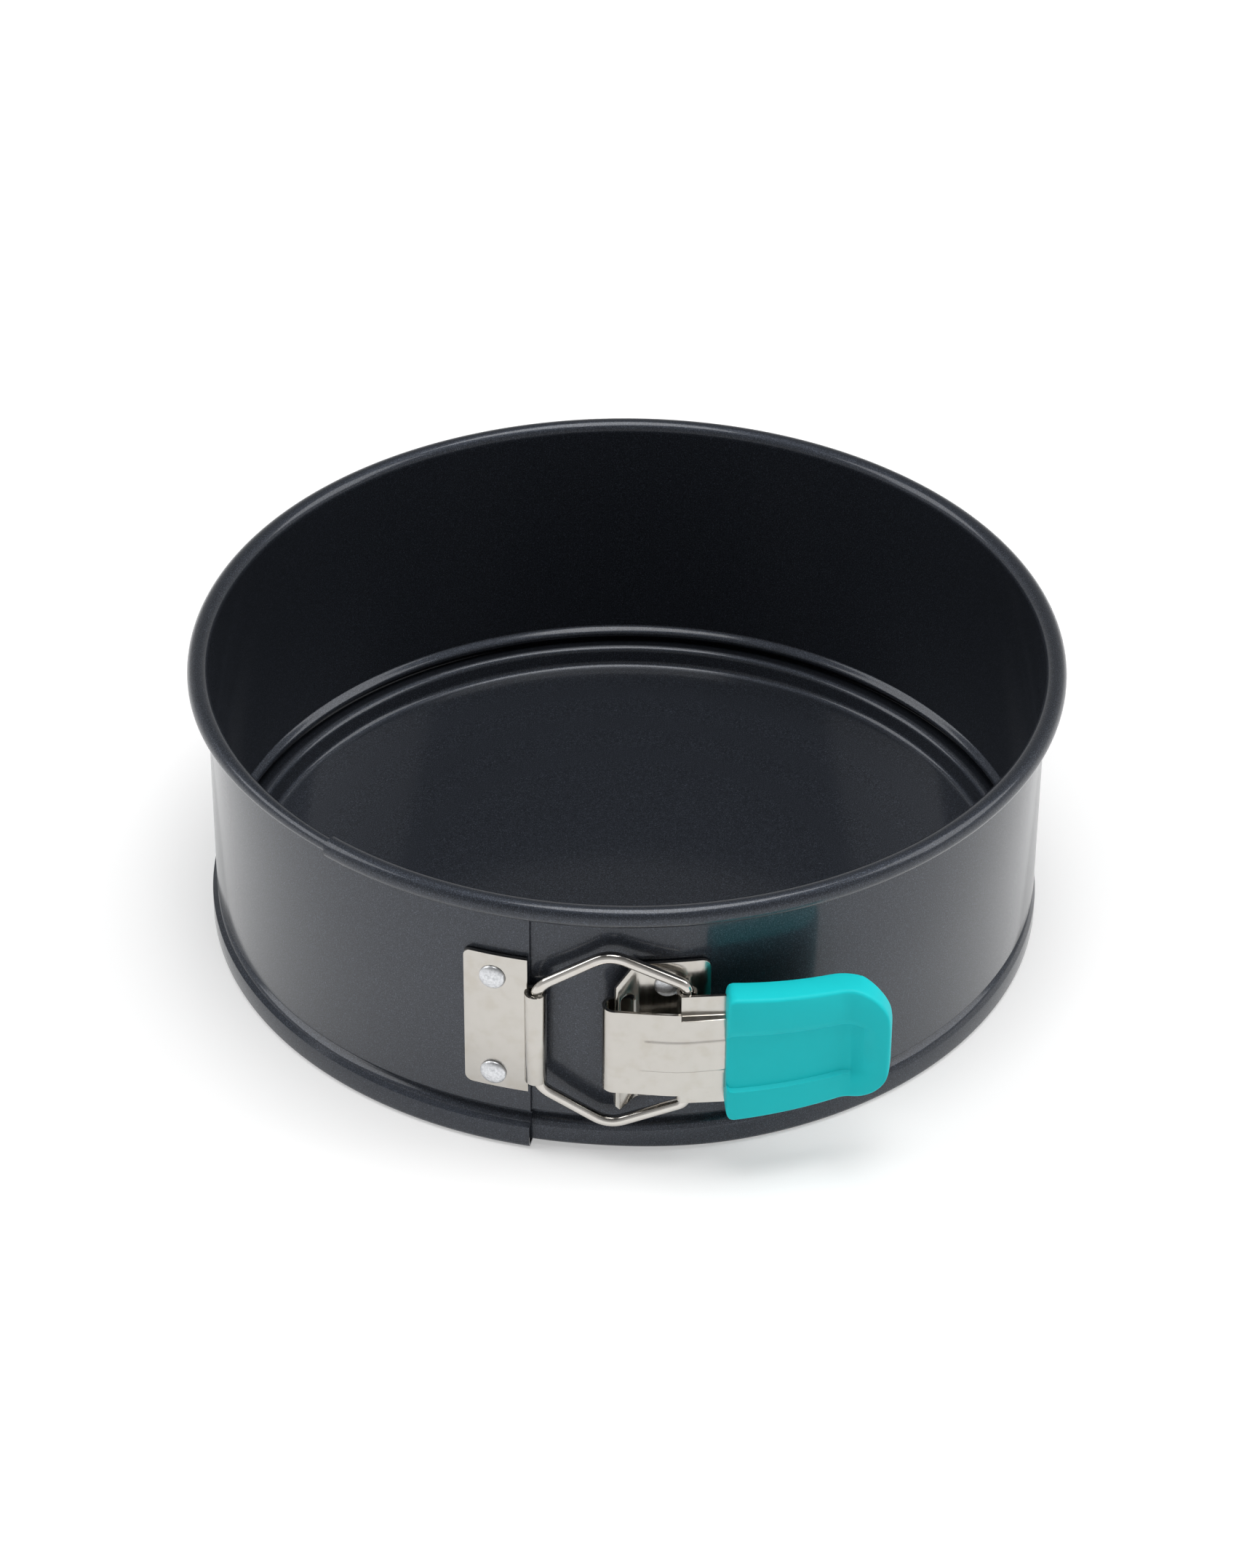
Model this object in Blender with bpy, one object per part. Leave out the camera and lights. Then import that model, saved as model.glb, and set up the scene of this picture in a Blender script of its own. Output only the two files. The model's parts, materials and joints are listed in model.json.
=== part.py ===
"""Springform cake pan: a split side band with an over-centre wire latch, and a lift-out base plate.

Metres, +Z up.  The pan's axis is Z, the base plate stands on Z = 0, and the latch faces -Y.
"""
import math

import bmesh
import bpy
from mathutils import Matrix, Vector

MM = 0.001
CLEARANCE = 0.3 * MM
SHARP_DEG = 35.0
QUARTER_DEG = 90.0
CURL_DEG = 290.0
CURL_STEPS = 14
CORNER_STEPS = 5

# Side band
INNER_RADIUS = 101.6 * MM
BAND_SHEET = 0.6 * MM
RIM_HEIGHT = 71.0 * MM
ROLL_RADIUS = 2.3 * MM
ROLL_END_DEG = -85.0
ROLL_STEPS = 8
BEAD_HEIGHT = 8.6 * MM
BEAD_HALF_WIDTH = 2.0 * MM
BEAD_DEPTH = 1.9 * MM
BEAD_STEPS = 4
SKIRT_TOP = 5.9 * MM
SKIRT_STEP = 0.5 * MM
SKIRT_CORNER = 1.1 * MM
SKIRT_ROUNDING = 0.3
SKIRT_FLARE = 1.0
LIP_WIDTH = 3.4 * MM
LAYER_GAP = 0.35 * MM
SEAM_X = -22.0 * MM
OVERLAP_DEG = 28.6
SETTLE_DEG = 130.0
REGROW_DEG = 40.0
BAND_STEP_DEG = 5.0

# Base plate
BASE_SHEET = 0.8 * MM
BASE_FIT = 0.4 * MM
BASE_RIDGE_INSET = 3.7 * MM
BASE_RIDGE_HEIGHT = 5.6 * MM
BASE_EDGE_DROP = 0.6 * MM
RIDGE_CROWN = 0.95 * MM
RIDGE_OUTER_FALL = 0.1 * MM
RIDGE_INNER_FALL = 0.35 * MM
FLOOR_INSET = 8.5 * MM
FLOOR_FILLET = 1.2 * MM
SLOPE_LEAN = 0.2 * MM
BASE_SEGMENTS = 72

# Keeper plate, in heights above and below the latch's middle
LATCH_HEIGHT = 35.8 * MM
PLATE_SHEET = 1.0 * MM
PLATE_STEPS = 6
KEEPER_LEFT_X = -37.5 * MM
KEEPER_TAB_X = -23.5 * MM
KEEPER_RISE = 20.5 * MM
KEEPER_DROP = 18.4 * MM
KEEPER_CORNER = 1.8 * MM
BARREL_X = -20.8 * MM
BARREL_HALF_LENGTH = 12.9 * MM
BARREL_LEAD = 1.2 * MM

# Wire bail
WIRE_RADIUS = 1.4 * MM
WIRE_FIT = 0.2 * MM
WIRE_BEND = 4.0 * MM
WIRE_BEND_STEPS = 4
WIRE_RESOLUTION = 3
BAIL_APEX_X = -3.8 * MM
BAIL_APEX_HALF_HEIGHT = 25.2 * MM
HOOK_X = 14.0 * MM
HOOK_STANDOFF = 5.3 * MM

# Lever bracket
BRACKET_BEND_X = 2.9 * MM
BRACKET_RIGHT_X = 19.6 * MM
BRACKET_RISE = 21.1 * MM
BRACKET_DROP = 18.2 * MM
BRACKET_CORNER = 2.4 * MM
RAIL_X = -1.8 * MM
RAIL_STANDOFF = 4.0 * MM
RAIL_WIDTH = 1.6 * MM
FLANGE_TOP_X = 1.9 * MM
FLANGE_HEAD_RISE = 15.5 * MM
FLANGE_FOOT_DROP = 16.6 * MM
FLANGE_TIP_X = -1.2 * MM
FLANGE_TIP_DROP = 20.2 * MM
FLANGE_RETURN_X = 2.2 * MM
WINDOW_RIGHT_X = 1.9 * MM
WINDOW_HALF_HEIGHT = 13.2 * MM

# Latch lever
LEVER_SHEET = 0.8 * MM
LEVER_HALF_HEIGHT = 11.9 * MM
LOOP_LEFT = 3.65 * MM
LOOP_FRONT = 3.4 * MM
LOOP_BACK = 1.9 * MM
LOOP_TIP = 3.9 * MM
LOOP_TIP_SHARE = 0.7
LOOP_TIP_TURN = 0.95 * MM
LOOP_STEPS = 8
LEVER_KNEE_X = 12.5 * MM
LEVER_KNEE_STANDOFF = 9.4 * MM
EAR_HALF_HEIGHT = 15.7 * MM
EAR_WEB = 0.6 * MM
EAR_STEP = 1.6 * MM
TANG_END_X = 47.0 * MM
TANG_STEPS = 5

# Grip
GRIP_LEFT_X = 23.4 * MM
GRIP_RIGHT_X = 61.0 * MM
GRIP_ROOT_STANDOFF = 13.45 * MM
GRIP_SLOPE_DEG = 5.3
GRIP_FACE_RADIUS = 91.8 * MM
GRIP_THICKNESS = 7.7 * MM
GRIP_TIP_THICKNESS = 5.0 * MM
GRIP_LEFT_HALF_HEIGHT = 17.85 * MM
GRIP_RIGHT_HALF_HEIGHT = 14.95 * MM
GRIP_LEFT_CORNER = 2.2 * MM
GRIP_RIGHT_CORNER = 8.7 * MM
GRIP_EDGE = 1.0 * MM
GRIP_STEPS = 18
LIP_START_X = 49.3 * MM
LIP_BLEND = 3.5 * MM
LIP_SLOPE = 0.7
CHANNEL_RISE = 6.2 * MM
CHANNEL_DROP = 8.4 * MM
CHANNEL_DEPTH = 1.1 * MM
CHANNEL_FADE_X = 45.0 * MM
CHANNEL_END_X = 51.5 * MM
CHANNEL_STEPS = 8

# Rivets
RIVET_SHANK = 1.6 * MM
RIVET_HEAD = 3.2 * MM
RIVET_DOME = 1.3 * MM
DOME_SHARES = (0.45, 0.75, 0.93, 1.0)
RIVET_SEGMENTS = 20
HOLE_SEGMENTS = 16
KEEPER_RIVET_X = -30.5 * MM
KEEPER_RIVET_HALF_SPACING = 14.15 * MM
BRACKET_RIVET_X = 9.55 * MM
BRACKET_RIVET_RISE = 14.8 * MM
BRACKET_RIVET_DROP = 13.5 * MM

# Sizes that follow from those above
WALL_MID = INNER_RADIUS + BAND_SHEET / 2
OUTER_RADIUS = INNER_RADIUS + BAND_SHEET
LAYER_STEP = BAND_SHEET + LAYER_GAP
OUTER_END_DEG = math.degrees(math.asin(SEAM_X / OUTER_RADIUS))
KEEPER_INNER = OUTER_RADIUS + LAYER_STEP + CLEARANCE
BRACKET_INNER = OUTER_RADIUS + CLEARANCE
BASE_RADIUS = INNER_RADIUS + SKIRT_STEP - BASE_FIT
EYE_RADIUS = WIRE_RADIUS + WIRE_FIT
BARREL_STANDOFF = LAYER_STEP + CLEARANCE + PLATE_SHEET + EYE_RADIUS
CUTTER_REACH = 2 * OUTER_RADIUS


def front_point(x, standoff):
    """Plan point on the front of the pan, a given distance off the band's outer face."""
    radius = OUTER_RADIUS + standoff
    return Vector((x, -math.sqrt(radius * radius - x * x)))


BARREL = front_point(BARREL_X, BARREL_STANDOFF)
HOOK = front_point(HOOK_X, HOOK_STANDOFF)
RAIL = front_point(RAIL_X, RAIL_STANDOFF)
KNEE = front_point(LEVER_KNEE_X, LEVER_KNEE_STANDOFF)
BAND_PIVOT = Vector((0.0, WALL_MID))
GRIP_SLOPE = math.radians(GRIP_SLOPE_DEG)
GRIP_CENTRE = front_point(GRIP_LEFT_X, GRIP_ROOT_STANDOFF) \
    + GRIP_FACE_RADIUS * Vector((-math.sin(GRIP_SLOPE), math.cos(GRIP_SLOPE)))


def clear_scene():
    for item in list(bpy.data.objects):
        bpy.data.objects.remove(item, do_unlink=True)


def make_material(name, colour, roughness, metallic):
    material = bpy.data.materials.new(name)
    material.use_nodes = True
    shader = material.node_tree.nodes["Principled BSDF"]
    shader.inputs["Base Color"].default_value = (*colour, 1.0)
    shader.inputs["Roughness"].default_value = roughness
    shader.inputs["Metallic"].default_value = metallic
    return material


def add_object(name, bm, material=None):
    """Turn a bmesh into a named object, smooth-shaded with sharp corners kept."""
    bmesh.ops.recalc_face_normals(bm, faces=bm.faces)
    mesh = bpy.data.meshes.new(name)
    bm.to_mesh(mesh)
    bm.free()
    mesh.shade_smooth()
    mesh.set_sharp_from_angle(angle=math.radians(SHARP_DEG))
    item = bpy.data.objects.new(name, mesh)
    bpy.context.collection.objects.link(item)
    if material:
        mesh.materials.append(material)
    return item


def add_helper(name, bm):
    """A solid that only serves a Boolean: hidden, and no part of the pan."""
    item = add_object(name, bm)
    item.hide_render = True
    item.display_type = "WIRE"
    return item


def combine(target, helper, operation):
    modifier = target.modifiers.new(helper.name, "BOOLEAN")
    modifier.operation = operation
    modifier.solver = "EXACT"
    modifier.object = helper


def spread(start, stop, steps):
    """Evenly spaced values from start to stop, both included."""
    return [start + (stop - start) * i / steps for i in range(steps + 1)]


def smooth(value):
    value = min(max(value, 0.0), 1.0)
    return value * value * (3.0 - 2.0 * value)


def polar(radius, degrees):
    """Plan point at an azimuth measured from the front (-Y) towards +X."""
    angle = math.radians(degrees)
    return Vector((radius * math.sin(angle), -radius * math.cos(angle)))


def azimuth(x, radius):
    """Azimuth in degrees of the point at a given X on the front of a circle round the pan's axis."""
    return math.degrees(math.asin(x / radius))


def arc(centre, radius, start_deg, end_deg, steps):
    points = []
    for degrees in spread(start_deg, end_deg, steps):
        angle = math.radians(degrees)
        points.append(centre + radius * Vector((math.cos(angle), math.sin(angle))))
    return points


def corner(x, height, radius, start_deg):
    """Quarter arc of a rounded corner of a face outline, about its own centre."""
    return arc(Vector((x, height)), radius, start_deg, start_deg + QUARTER_DEG, CORNER_STEPS)


def ribbon(points, thickness):
    """Closed outline of a sheet of even thickness along a plan polyline."""
    left, right = [], []
    last = len(points) - 1
    for i, point in enumerate(points):
        before = (point - points[max(i - 1, 0)]).normalized()
        after = (points[min(i + 1, last)] - point).normalized()
        along = (before + after).normalized()
        normal = Vector((-along.y, along.x))
        lean = max(along.dot(after if i < last else before), 0.5)
        offset = normal * (thickness / 2 / lean)
        left.append(point + offset)
        right.append(point - offset)
    return left + right[::-1]


def extruded(corners, reach):
    """Bmesh of a flat outline of 3-D corners, extruded by a vector."""
    bm = bmesh.new()
    face = bm.faces.new([bm.verts.new(point) for point in corners])
    grown = bmesh.ops.extrude_face_region(bm, geom=[face])["geom"]
    moved = [item for item in grown if isinstance(item, bmesh.types.BMVert)]
    bmesh.ops.translate(bm, verts=moved, vec=reach)
    return bm


def prism(outline, drop, rise):
    """Bmesh of a plan outline, from a drop below the latch's middle to a rise above it."""
    corners = [(p.x, p.y, LATCH_HEIGHT - drop) for p in outline]
    return extruded(corners, (0.0, 0.0, drop + rise))


def front_prism(outline):
    """Bmesh of an outline in X and height above the latch's middle, through the pan's whole front."""
    corners = [(p.x, -CUTTER_REACH, LATCH_HEIGHT + p.y) for p in outline]
    return extruded(corners, (0.0, CUTTER_REACH, 0.0))


def turned(profile, segments):
    """Bmesh of a closed or axis-to-axis profile of (radius, height) points turned about Z."""
    bm = bmesh.new()
    verts = [bm.verts.new((p[0], 0.0, p[1])) for p in profile]
    edges = [bm.edges.new(pair) for pair in zip(verts, verts[1:])]
    bmesh.ops.spin(bm, geom=verts + edges, cent=(0, 0, 0), axis=(0, 0, 1),
                   angle=2 * math.pi, steps=segments, use_merge=True)
    bmesh.ops.remove_doubles(bm, verts=bm.verts, dist=CLEARANCE / 1000)
    return bm


# Side band
def band_centre_line(turn):
    """Mid-sheet (radius, height) points, rim to lip, at a turn in degrees from the outer cut edge.

    The outer layer lies a step outside the inner one in the overlap and settles back beyond it.
    Its rim nests inside the inner layer's, and its skirt flares round the inner layer's.
    """
    past_overlap = turn - OVERLAP_DEG
    layer = LAYER_STEP * (1.0 - smooth(past_overlap / SETTLE_DEG))
    nest = layer * (1.0 - smooth(past_overlap / REGROW_DEG))
    lift = LAYER_STEP * smooth((turn - 360.0 + OVERLAP_DEG) / (OVERLAP_DEG - BAND_STEP_DEG))
    wall = WALL_MID + layer
    roll = ROLL_RADIUS - nest
    points = arc(Vector((wall + roll, RIM_HEIGHT)), roll, ROLL_END_DEG, 2 * QUARTER_DEG, ROLL_STEPS)
    for share in spread(0.0, 1.0, BEAD_STEPS):
        height = BEAD_HEIGHT + BEAD_HALF_WIDTH * (1.0 - 2.0 * share)
        points.append(Vector((wall - BEAD_DEPTH * math.sin(math.pi * share), height)))
    skirt = wall + SKIRT_STEP + SKIRT_FLARE * layer
    low = BAND_SHEET / 2 + lift
    rounding = SKIRT_ROUNDING * SKIRT_CORNER
    points.append(Vector((skirt, SKIRT_TOP)))
    points.append(Vector((skirt, low + SKIRT_CORNER)))
    points.append(Vector((skirt - rounding, low + rounding)))
    points.append(Vector((skirt - SKIRT_CORNER, low)))
    points.append(Vector((skirt - LIP_WIDTH, low)))
    return points


def make_side_band(material):
    sweep = 360.0 + OVERLAP_DEG
    turns = [i * BAND_STEP_DEG for i in range(int(sweep / BAND_STEP_DEG) + 1)]
    turns.append(sweep)
    bm = bmesh.new()
    rings = []
    for turn in turns:
        ring = []
        for point in ribbon(band_centre_line(turn), BAND_SHEET):
            plan = polar(point.x, OUTER_END_DEG - turn)
            ring.append(bm.verts.new((plan.x, plan.y, point.y)))
        rings.append(ring)
    for here, there in zip(rings, rings[1:]):
        for i in range(len(here)):
            j = (i + 1) % len(here)
            bm.faces.new((here[i], here[j], there[j], there[i]))
    bm.faces.new(rings[0])
    bm.faces.new(rings[-1])
    return add_object("side_band", bm, material)


# Base plate
def make_base_plate(material):
    ridge = BASE_RADIUS - BASE_RIDGE_INSET
    floor = BASE_RADIUS - FLOOR_INSET
    top = [
        (BASE_RADIUS, BASE_RIDGE_HEIGHT - BASE_EDGE_DROP),
        (ridge + RIDGE_CROWN, BASE_RIDGE_HEIGHT - RIDGE_OUTER_FALL),
        (ridge, BASE_RIDGE_HEIGHT),
        (ridge - RIDGE_CROWN, BASE_RIDGE_HEIGHT - RIDGE_INNER_FALL),
        (floor + FLOOR_FILLET, BASE_SHEET + FLOOR_FILLET),
        (floor, BASE_SHEET),
        (0.0, BASE_SHEET),
    ]
    bottom = []
    for radius, height in top:
        lean = SLOPE_LEAN if 0.0 < radius < BASE_RADIUS else 0.0
        bottom.append((radius + lean, height - BASE_SHEET))
    profile = bottom[::-1] + top + [bottom[-1]]
    return add_object("base_plate", turned(profile, BASE_SEGMENTS), material)


# Rivets and their holes
def radial_frame(degrees, height):
    """Matrix that stands a turned piece on the band, its axis pointing outwards."""
    lift = Matrix.Translation((0.0, 0.0, height))
    swing = Matrix.Rotation(math.radians(degrees), 4, "Z")
    tip_out = Matrix.Rotation(math.radians(QUARTER_DEG), 4, "X")
    return lift @ swing @ tip_out


def make_rivet(name, degrees, height, head_seat, shank_end, material):
    """Domed head outside, and a shank set flush in the band so that the base plate slides past it."""
    profile = [(0.0, head_seat + RIVET_DOME)]
    for share in DOME_SHARES:
        rise = math.sqrt(1.0 - share * share)
        profile.append((RIVET_HEAD * share, head_seat + RIVET_DOME * rise))
    profile.append((RIVET_SHANK, head_seat))
    profile.append((RIVET_SHANK, shank_end))
    profile.append((0.0, shank_end))
    bm = turned(profile, RIVET_SEGMENTS)
    bmesh.ops.transform(bm, matrix=radial_frame(degrees, height), verts=bm.verts)
    return add_object(name, bm, material)


def rivet_hole(name, degrees, height, start):
    """Cutter for one rivet's hole, from a radius inside the riveted sheet outwards."""
    radius = RIVET_SHANK + CLEARANCE
    stop = start + 3 * RIVET_HEAD
    bm = turned([(0.0, start), (radius, start), (radius, stop), (0.0, stop)], HOLE_SEGMENTS)
    bmesh.ops.transform(bm, matrix=radial_frame(degrees, height), verts=bm.verts)
    return add_helper(name, bm)


# Keeper: riveted plate whose right edge is rolled into a barrel round the wire
def make_keeper_plate(material):
    mid = KEEPER_INNER + PLATE_SHEET / 2
    eye = EYE_RADIUS + PLATE_SHEET / 2
    start = azimuth(KEEPER_LEFT_X - PLATE_SHEET, mid)
    stop = azimuth(BARREL_X - BARREL_LEAD, mid)
    toward_axis = math.degrees(math.atan2(-BARREL.y, -BARREL.x))
    points = [polar(mid, degrees) for degrees in spread(start, stop, PLATE_STEPS)]
    points += arc(BARREL, eye, toward_axis, toward_axis - CURL_DEG, CURL_STEPS)
    sheet = prism(ribbon(points, PLATE_SHEET), KEEPER_DROP + PLATE_SHEET, KEEPER_RISE + PLATE_SHEET)
    plate = add_object("keeper_plate", sheet, material)

    left = KEEPER_LEFT_X + KEEPER_CORNER
    beyond = BARREL_X + 2 * eye
    face = corner(left, KEEPER_RISE - KEEPER_CORNER, KEEPER_CORNER, QUARTER_DEG)
    face += corner(left, KEEPER_CORNER - KEEPER_DROP, KEEPER_CORNER, 2 * QUARTER_DEG)
    face.append(Vector((KEEPER_TAB_X, -KEEPER_DROP)))
    face.append(Vector((KEEPER_TAB_X, -BARREL_HALF_LENGTH)))
    face.append(Vector((beyond, -BARREL_HALF_LENGTH)))
    face.append(Vector((beyond, BARREL_HALF_LENGTH)))
    face.append(Vector((KEEPER_TAB_X, BARREL_HALF_LENGTH)))
    face.append(Vector((KEEPER_TAB_X, KEEPER_RISE)))
    combine(plate, add_helper("keeper_face", front_prism(face)), "INTERSECT")
    return plate


# Bracket: plate on the band with a flange whose outer strip is the lever's rail
def make_lever_bracket(material):
    mid = BRACKET_INNER + PLATE_SHEET / 2
    right_deg = azimuth(BRACKET_RIGHT_X + PLATE_SHEET, mid)
    bend_deg = azimuth(BRACKET_BEND_X, mid)
    points = [polar(mid, degrees) for degrees in spread(right_deg, bend_deg, PLATE_STEPS)]
    along = (RAIL - points[-1]).normalized()
    rail_left = RAIL + along * (RAIL_WIDTH / 2)
    rail_right = RAIL - along * (RAIL_WIDTH / 2)
    points.append(rail_left)
    sheet = prism(ribbon(points, PLATE_SHEET), FLANGE_TIP_DROP + PLATE_SHEET, BRACKET_RISE + PLATE_SHEET)
    bracket = add_object("lever_bracket", sheet, material)

    left = rail_left.x - PLATE_SHEET
    right = BRACKET_RIGHT_X - BRACKET_CORNER
    face = [Vector((left, -FLANGE_FOOT_DROP))]
    face.append(Vector((FLANGE_TIP_X, -FLANGE_TIP_DROP)))
    face.append(Vector((FLANGE_RETURN_X, -BRACKET_DROP)))
    face += corner(right, BRACKET_CORNER - BRACKET_DROP, BRACKET_CORNER, -QUARTER_DEG)
    face += corner(right, BRACKET_RISE - BRACKET_CORNER, BRACKET_CORNER, 0.0)
    face.append(Vector((FLANGE_TOP_X, BRACKET_RISE)))
    face.append(Vector((left, FLANGE_HEAD_RISE)))
    combine(bracket, add_helper("bracket_face", front_prism(face)), "INTERSECT")

    window = [Vector((rail_right.x, -WINDOW_HALF_HEIGHT)), Vector((WINDOW_RIGHT_X, -WINDOW_HALF_HEIGHT)),
              Vector((WINDOW_RIGHT_X, WINDOW_HALF_HEIGHT)), Vector((rail_right.x, WINDOW_HALF_HEIGHT))]
    combine(bracket, add_helper("bracket_window", front_prism(window)), "DIFFERENCE")
    return bracket


# Bail: one bent wire through the keeper's barrel, its ends turned in to the lever's ears
def wire_corner(before, bend, after):
    """Points of a round bend that replaces a corner of the wire's route."""
    inward = (before - bend).normalized()
    onward = (after - bend).normalized()
    tangent = WIRE_BEND / math.tan(inward.angle(onward) / 2)
    start = bend + inward * tangent
    end = bend + onward * tangent
    points = []
    for t in spread(0.0, 1.0, WIRE_BEND_STEPS):
        points.append(start * (1 - t) ** 2 + bend * (2 * t * (1 - t)) + end * t ** 2)
    return points


def make_wire_bail(material):
    apex = BARREL.lerp(HOOK, (BAIL_APEX_X - BARREL.x) / (HOOK.x - BARREL.x))
    half_route = [
        (BARREL, BARREL_HALF_LENGTH + EYE_RADIUS),
        (apex, BAIL_APEX_HALF_HEIGHT),
        (HOOK, EAR_HALF_HEIGHT + EYE_RADIUS),
        (HOOK, LEVER_HALF_HEIGHT + EAR_WEB + 2 * CLEARANCE),
    ]
    upper = [Vector((p.x, p.y, LATCH_HEIGHT + h)) for p, h in half_route]
    lower = [Vector((p.x, p.y, LATCH_HEIGHT - h)) for p, h in half_route]
    route = upper[::-1] + lower
    points = [route[0]]
    for before, bend, after in zip(route, route[1:], route[2:]):
        points += wire_corner(before, bend, after)
    points.append(route[-1])
    curve = bpy.data.curves.new("wire_bail", "CURVE")
    curve.dimensions = "3D"
    curve.bevel_depth = WIRE_RADIUS
    curve.bevel_resolution = WIRE_RESOLUTION
    curve.use_fill_caps = True
    spline = curve.splines.new("POLY")
    spline.points.add(len(points) - 1)
    origin = Vector((BARREL.x, BARREL.y, 0.0))
    for slot, point in zip(spline.points, points):
        slot.co = (*(point - origin), 1.0)
    bail = bpy.data.objects.new("wire_bail", curve)
    bail.location = origin
    bpy.context.collection.objects.link(bail)
    curve.materials.append(material)
    return bail


# Lever: sheet with a hook round the rail, two curled ears round the wire, and a tang in the grip
def grip_arc(x, radius):
    """Plan point at a given X on one of the arcs that the grip's face, middle and back follow."""
    run = x - GRIP_CENTRE.x
    return Vector((x, GRIP_CENTRE.y - math.sqrt(radius * radius - run * run)))


def grip_axis(x):
    return grip_arc(x, GRIP_FACE_RADIUS - GRIP_THICKNESS / 2)


def lever_route():
    front = RAIL.y - LOOP_FRONT
    back = RAIL.y + LOOP_BACK
    radius = (back - front) / 2
    centre = Vector((RAIL.x - LOOP_LEFT + LEVER_SHEET / 2 + radius, (front + back) / 2))
    tip = Vector((RAIL.x + LOOP_TIP, back - LOOP_TIP_TURN))
    route = [tip, Vector((RAIL.x + LOOP_TIP_SHARE * LOOP_TIP, back))]
    route += arc(centre, radius, QUARTER_DEG, 3 * QUARTER_DEG, LOOP_STEPS)
    route.append(KNEE)
    route += [grip_axis(x) for x in spread(GRIP_LEFT_X, TANG_END_X, TANG_STEPS)]
    return route


def make_latch_lever(material):
    sheet = prism(ribbon(lever_route(), LEVER_SHEET), LEVER_HALF_HEIGHT, LEVER_HALF_HEIGHT)
    lever = add_object("latch_lever", sheet, material)
    eye = EYE_RADIUS + LEVER_SHEET / 2
    throat = grip_axis(GRIP_LEFT_X)
    strip_start = Vector((HOOK.x, HOOK.y - eye))
    strip_end = Vector((throat.x - CLEARANCE, throat.y + EAR_STEP))
    ear = arc(HOOK, eye, -QUARTER_DEG - CURL_DEG, -QUARTER_DEG, CURL_STEPS)
    ear.append(strip_end)
    web = [strip_start, strip_end, Vector((strip_end.x, throat.y)), Vector((strip_start.x, KNEE.y))]
    web_near = LEVER_HALF_HEIGHT - EAR_WEB
    web_far = LEVER_HALF_HEIGHT + EAR_WEB / 2
    strip = ribbon(ear, LEVER_SHEET)
    combine(lever, add_helper("lever_web_upper", prism(web, -web_near, web_far)), "UNION")
    combine(lever, add_helper("lever_web_lower", prism(web, web_far, -web_near)), "UNION")
    combine(lever, add_helper("lever_ear_upper", prism(strip, -LEVER_HALF_HEIGHT, EAR_HALF_HEIGHT)), "UNION")
    combine(lever, add_helper("lever_ear_lower", prism(strip, EAR_HALF_HEIGHT, -LEVER_HALF_HEIGHT)), "UNION")
    return lever


# Grip: moulded sleeve over the tang, with an outward finger lip at its free end
def grip_face(x):
    """Plan point on the grip's front: an arc, then a lip that turns outwards after a round blend."""
    run = max(x - LIP_START_X, 0.0)
    blend = min(run, LIP_BLEND)
    reach = LIP_SLOPE * (blend * blend / (2 * LIP_BLEND) + run - blend)
    return grip_arc(x, GRIP_FACE_RADIUS) - Vector((0.0, reach))


def grip_outline():
    """Plan outline of the grip, longer at both ends than its face, which cuts it to length."""
    xs = spread(GRIP_LEFT_X - GRIP_THICKNESS, GRIP_RIGHT_X + GRIP_TIP_THICKNESS, GRIP_STEPS)
    front = [grip_face(x) for x in xs]
    back = []
    for i, x in enumerate(xs):
        along = (front[min(i + 1, GRIP_STEPS)] - front[max(i - 1, 0)]).normalized()
        thinning = smooth((x - LIP_START_X) / (GRIP_RIGHT_X - LIP_START_X))
        thickness = GRIP_THICKNESS + (GRIP_TIP_THICKNESS - GRIP_THICKNESS) * thinning
        back.append(front[i] + Vector((-along.y, along.x)) * thickness)
    return front + back[::-1]


def grip_panel():
    """Grip's face outline in X and height: nearly square at the lever, round at the finger lip."""
    taper = (GRIP_LEFT_HALF_HEIGHT - GRIP_RIGHT_HALF_HEIGHT) / (GRIP_RIGHT_X - GRIP_LEFT_X)
    lean_deg = math.degrees(math.atan(taper))
    edge_deg = QUARTER_DEG - lean_deg
    upper = []
    for x, radius, start_deg, end_deg in (
            (GRIP_RIGHT_X - GRIP_RIGHT_CORNER, GRIP_RIGHT_CORNER, 0.0, edge_deg),
            (GRIP_LEFT_X + GRIP_LEFT_CORNER, GRIP_LEFT_CORNER, edge_deg, 2 * QUARTER_DEG)):
        edge = GRIP_LEFT_HALF_HEIGHT - taper * (x - GRIP_LEFT_X)
        height = edge - radius / math.cos(math.radians(lean_deg))
        upper += arc(Vector((x, height)), radius, start_deg, end_deg, CORNER_STEPS)
    return upper + [Vector((p.x, -p.y)) for p in reversed(upper)]


def channel_outline():
    """Plan outline of the shallow finger channel along the grip's face, which fades towards the lip."""
    outer, inner = [], []
    for x in spread(GRIP_LEFT_X - GRIP_EDGE, CHANNEL_END_X, CHANNEL_STEPS):
        fade = smooth((x - CHANNEL_FADE_X) / (CHANNEL_END_X - CHANNEL_FADE_X))
        face = grip_face(x)
        outer.append(face - Vector((0.0, GRIP_EDGE)))
        inner.append(face + Vector((0.0, CHANNEL_DEPTH * (1.0 - fade))))
    return outer + inner[::-1]


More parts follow.
